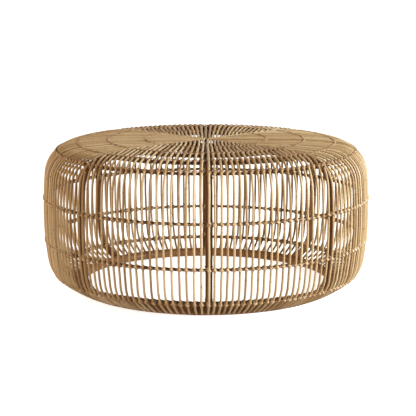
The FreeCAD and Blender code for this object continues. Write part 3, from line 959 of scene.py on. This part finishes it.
def make_posts(rng):
    """Eight bent poles with a notch for each thin hoop."""
    radii, heights, angles = post_path()
    along = along_of(polar(radii, 0.0, heights))
    fine = np.linspace(0.0, along[-1], NOTCH_SEARCH_POINTS)
    fine_radii = np.interp(fine, along, radii)
    fine_heights = np.interp(fine, along, heights)
    notches = []
    for hoop in HOOPS.values():
        distance = np.hypot(fine_radii - hoop.circle, fine_heights - hoop.level)
        notches.append((fine[np.argmin(distance)], hoop.tube + NOTCH_CLEARANCE))
    sink = POST_DEPTH - HOOP_DEPTH
    extra = np.concatenate([place + NOTCH_STATIONS * tube for place, tube in notches])

    def notched(stations, sections):
        """Cuts the sections back where a hoop lies in the post."""
        for place, tube in notches:
            inside = tube ** 2 - (stations - place) ** 2
            limit = np.where(inside >= 0.0, sink - np.sqrt(np.maximum(inside, 0.0)), np.inf)
            sections[..., 1] = np.minimum(sections[..., 1], limit[:, None])
        return sections

    for name, number in POSTS.items():
        bearing = post_bearing(number)
        path = polar(radii, bearing, heights)
        outward = polar(np.cos(np.radians(angles)), bearing, np.sin(np.radians(angles)))
        strands = Strands()
        rattan_strand(strands, path, outward, POST_RADIUS, rng, POST_CORNERS, POST_WANDER,
                      POST_JOINT_GAP, extra, notched)
        strands.piece(f"{name}_rattan", POLE, "pole", name)


def base_circle():
    """Radius and height of the base hoop's centre line, from its CAD node."""
    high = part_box("base_hoop")[1]
    return high.x - BASE_POLE_RADIUS, high.z - BASE_POLE_RADIUS


def make_base_hoop(rng):
    """The thick hoop on the floor, planed flat underneath."""
    circle, level = base_circle()
    path, bearings = ring_path(circle, level, BASE_JOINT_BEARING, BASE_SPACING)

    def planed(stations, sections):
        """Flattens the sections where they would reach below the floor."""
        sections[..., 0] = np.maximum(sections[..., 0], -level)
        return sections

    strands = Strands()
    rattan_strand(strands, path, polar(1.0, bearings), BASE_POLE_RADIUS, rng, BASE_CORNERS,
                  0.0, BASE_JOINT_GAP, shape=planed)
    strands.piece("base_hoop_rattan", POLE, "pole", "base_hoop")


# ---------------------------------------------------------------- plate and screws

SCREW_CORNERS = 48
SCREW_RADIUS = 2.0 * MM
SCREW_HEAD_RADIUS = 4.0 * MM
SCREW_HEAD_HEIGHT = 2.5 * MM
SCREW_HEAD_BEVEL = 0.25 * MM
SCREW_NECK = 1.0 * MM
SCREW_TIP_LENGTH = 4.0 * MM
SCREW_TIP_RADIUS = 0.3 * MM
SCREW_TIP_ROUNDING = 0.2 * MM
FOOT_SCREW_LENGTH = 55.0 * MM
FOOT_SCREW_SLOPE = 35.0
PLATE_SCREW_LENGTH = 22.0 * MM
PLATE_SCREW_CIRCLE = 55.0 * MM
THREAD_PITCH = 1.8 * MM
THREAD_DEPTH = 0.55 * MM
THREAD_ROWS = 6.0
THREAD_SHARPNESS = 5.0
# Rings of the driver recess from its bottom to its rim: (reach, depth).
RECESS_RINGS = [(1.45 * MM, 1.3 * MM), (1.75 * MM, 1.2 * MM), (2.15 * MM, 0.15 * MM), (2.25 * MM, 0.0)]


def cross_recess(turn):
    """Outline radius of a cross-shaped driver recess at an angle, as a share of its reach."""
    core = 0.34
    return core + (1.0 - core) * np.abs(np.cos(2.0 * turn)) ** 6


def screw_rows(length):
    """A screw's rings from the driver recess over the head and thread to the tip.

    Each row is the radius and the depth below the top of the head at every corner.
    """
    turn = np.arange(SCREW_CORNERS) * math.tau / SCREW_CORNERS
    rows = [(reach * cross_recess(turn), depth) for reach, depth in RECESS_RINGS]
    rows.append((SCREW_HEAD_RADIUS - SCREW_HEAD_BEVEL, 0.0))
    rows.append((SCREW_HEAD_RADIUS, SCREW_HEAD_BEVEL))
    rows.append((SCREW_RADIUS, SCREW_HEAD_HEIGHT))
    thread_start = SCREW_HEAD_HEIGHT + SCREW_NECK
    for depth in np.arange(thread_start, length - SCREW_TIP_LENGTH, THREAD_PITCH / THREAD_ROWS):
        thread = (depth / THREAD_PITCH - turn / math.tau) % 1.0
        crest = np.maximum(0.0, 1.0 - np.abs(thread - 0.5) * THREAD_SHARPNESS)
        rows.append((SCREW_RADIUS - THREAD_DEPTH * (1.0 - crest), depth))
    rows.append((SCREW_TIP_RADIUS, length - SCREW_TIP_ROUNDING))
    return [(np.broadcast_to(radius, SCREW_CORNERS), depth) for radius, depth in rows]


def screw_points(start, direction, length):
    """Points of one screw, ring after ring, from a start in a direction."""
    turn = np.arange(SCREW_CORNERS) * math.tau / SCREW_CORNERS
    axis = unit(np.array(direction))
    side = np.array([1.0, 0.0, 0.0])
    third = np.cross(axis, side)
    return np.concatenate([
        np.array(start) + axis * depth
        + side * (radius * np.cos(turn))[:, None] + third * (radius * np.sin(turn))[:, None]
        for radius, depth in screw_rows(length)
    ])


def ring_faces(base, rows):
    """Faces of a closed skin of rings, whose points start at a base number."""
    last = base + (rows - 1) * SCREW_CORNERS
    faces = [
        list(range(base + SCREW_CORNERS - 1, base - 1, -1)),
        list(range(last, last + SCREW_CORNERS)),
    ]
    for low in range(base, last, SCREW_CORNERS):
        high = low + SCREW_CORNERS
        for corner in range(SCREW_CORNERS):
            after = (corner + 1) % SCREW_CORNERS
            faces.append((low + corner, low + after, high + after, high + corner))
    return faces


def make_screw_set(node_name, start, direction, length):
    """Eight screws, one for each post; start and direction are those of the front one."""
    one = screw_points(start, direction, length)
    points, faces = [], []
    for number in POSTS.values():
        angle = math.radians(post_bearing(number))
        turned = one.copy()
        turned[:, 0] = one[:, 0] * math.cos(angle) - one[:, 1] * math.sin(angle)
        turned[:, 1] = one[:, 0] * math.sin(angle) + one[:, 1] * math.cos(angle)
        faces.extend(ring_faces(len(points) * len(one), len(one) // SCREW_CORNERS))
        points.append(turned)
    mesh = bpy.data.meshes.new(f"{node_name}_steel")
    mesh.from_pydata(np.concatenate(points).tolist(), [], faces)
    mesh.materials.append(ZINC)
    mesh.update()
    settle(bpy.data.objects.new(f"{node_name}_steel", mesh), "screw_steel", node_name)


def make_screws():
    """The screws in the feet of the posts and those through the plate."""
    circle, level = base_circle()
    slope = math.radians(FOOT_SCREW_SLOPE)
    across, down = BASE_POLE_RADIUS * math.cos(slope), BASE_POLE_RADIUS * math.sin(slope)
    start = polar(circle - across, 0.0, level - down)
    direction = polar(math.cos(slope), 0.0, math.sin(slope))
    make_screw_set("foot_screws", start, direction, FOOT_SCREW_LENGTH)
    start = polar(PLATE_SCREW_CIRCLE, 0.0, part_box("centre_plate")[0].z)
    make_screw_set("plate_screws", start, (0.0, 0.0, 1.0), PLATE_SCREW_LENGTH)


def finish_plate():
    """The plywood plate keeps its CAD shape and gets its material."""
    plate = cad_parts["centre_plate"]
    plate.data.materials.clear()
    plate.data.materials.append(PLYWOOD)


# ---------------------------------------------------------------- floor, light and camera

FLOOR_HALF_SIZE = 40.0
FLOOR_DROP = 0.2 * MM
FLOOR_COLOUR = (0.90, 0.90, 0.90, 1.0)
FLOOR_GLOW = 0.75

SURROUND_COLOUR = (1.0, 0.88, 0.75)
# Strength of the surround from straight below, 0.0, over the horizon, 0.5, to overhead, 1.0.
SURROUND_STRENGTHS = [
    (0.0, 0.55), (0.35, 0.66), (0.5, 0.82), (0.62, 0.93), (0.7, 0.76), (0.8, 0.37), (1.0, 0.05),
]
LIGHT_TARGET = (0.0, 0.0, 0.2)

CAMERA_PLACE = (0.0, -3.895, 0.942)
CAMERA_TILT = 79.41
CAMERA_LENS = 123.0
CAMERA_SENSOR = 36.0
CAMERA_SHIFT = 0.0049
CAMERA_REACH = 200.0


def make_floor():
    """Plain pale floor that glows a little, like a studio light table."""
    half = FLOOR_HALF_SIZE
    corners = [(-half, -half), (half, -half), (half, half), (-half, half)]
    mesh = bpy.data.meshes.new("floor")
    mesh.from_pydata([(x, y, -FLOOR_DROP) for x, y in corners], [], [(0, 1, 2, 3)])
    material, _, shader = material_with("pale_floor")
    shader.inputs["Base Color"].default_value = FLOOR_COLOUR
    shader.inputs["Roughness"].default_value = 0.9
    shader.inputs["Specular IOR Level"].default_value = 0.1
    shader.inputs["Emission Color"].default_value = (1.0, 1.0, 1.0, 1.0)
    shader.inputs["Emission Strength"].default_value = FLOOR_GLOW
    mesh.materials.append(material)
    floor = bpy.data.objects.new("floor", mesh)
    bpy.context.scene.collection.objects.link(floor)
    # Its glow is for the eye only: the table is lit by the surround and the two lights.
    floor.visible_diffuse = False
    floor.visible_glossy = False


def area_light(name, place, size, power, colour):
    """Square soft light that shines from a place at the table."""
    data = bpy.data.lights.new(name, "AREA")
    data.shape = "SQUARE"
    data.size = size
    data.energy = power
    data.color = colour
    light = bpy.data.objects.new(name, data)
    light.location = place
    toward = Vector(LIGHT_TARGET) - Vector(place)
    light.rotation_euler = toward.to_track_quat("-Z", "Y").to_euler()
    bpy.context.scene.collection.objects.link(light)


def make_light():
    """A cool key from the right and a weaker warm fill from the left, in a warm surround."""
    world = bpy.data.worlds.new("surround")
    world.use_nodes = True
    tree = world.node_tree
    split = node(tree, "ShaderNodeSeparateXYZ")
    tree.links.new(node(tree, "ShaderNodeTexCoord").outputs["Generated"], split.inputs[0])
    level = sums(tree, (split.outputs["Z"], 0.5), 0.5)
    stops = [(place, [part * strength for part in SURROUND_COLOUR])
             for place, strength in SURROUND_STRENGTHS]
    tree.links.new(ramp(tree, level, stops), tree.nodes["Background"].inputs["Color"])
    bpy.context.scene.world = world
    area_light("key", (4.2, -2.0, 1.35), size=1.5, power=440.0, colour=(0.78, 0.89, 1.0))
    area_light("fill", (-4.6, -0.9, 1.2), size=3.0, power=150.0, colour=(1.0, 0.80, 0.62))


def make_camera():
    """A long lens a little above the top, looking down at it."""
    data = bpy.data.cameras.new("camera")
    data.sensor_width = CAMERA_SENSOR
    data.lens = CAMERA_LENS
    data.shift_x = CAMERA_SHIFT
    data.clip_end = CAMERA_REACH
    camera = bpy.data.objects.new("camera", data)
    camera.location = CAMERA_PLACE
    camera.rotation_euler = (math.radians(CAMERA_TILT), 0.0, 0.0)
    bpy.context.scene.collection.objects.link(camera)
    bpy.context.scene.camera = camera


# ---------------------------------------------------------------- assembly

make_camera()
make_light()
make_floor()
bpy.context.scene.view_settings.view_transform = "Standard"

source = random.Random(SEED)
for thin_hoop in HOOPS.values():
    make_hoop(thin_hoop, source)
cane_paths = make_canes(source)
make_lashings(cane_paths, source)
make_posts(source)
make_base_hoop(source)
make_screws()
finish_plate()
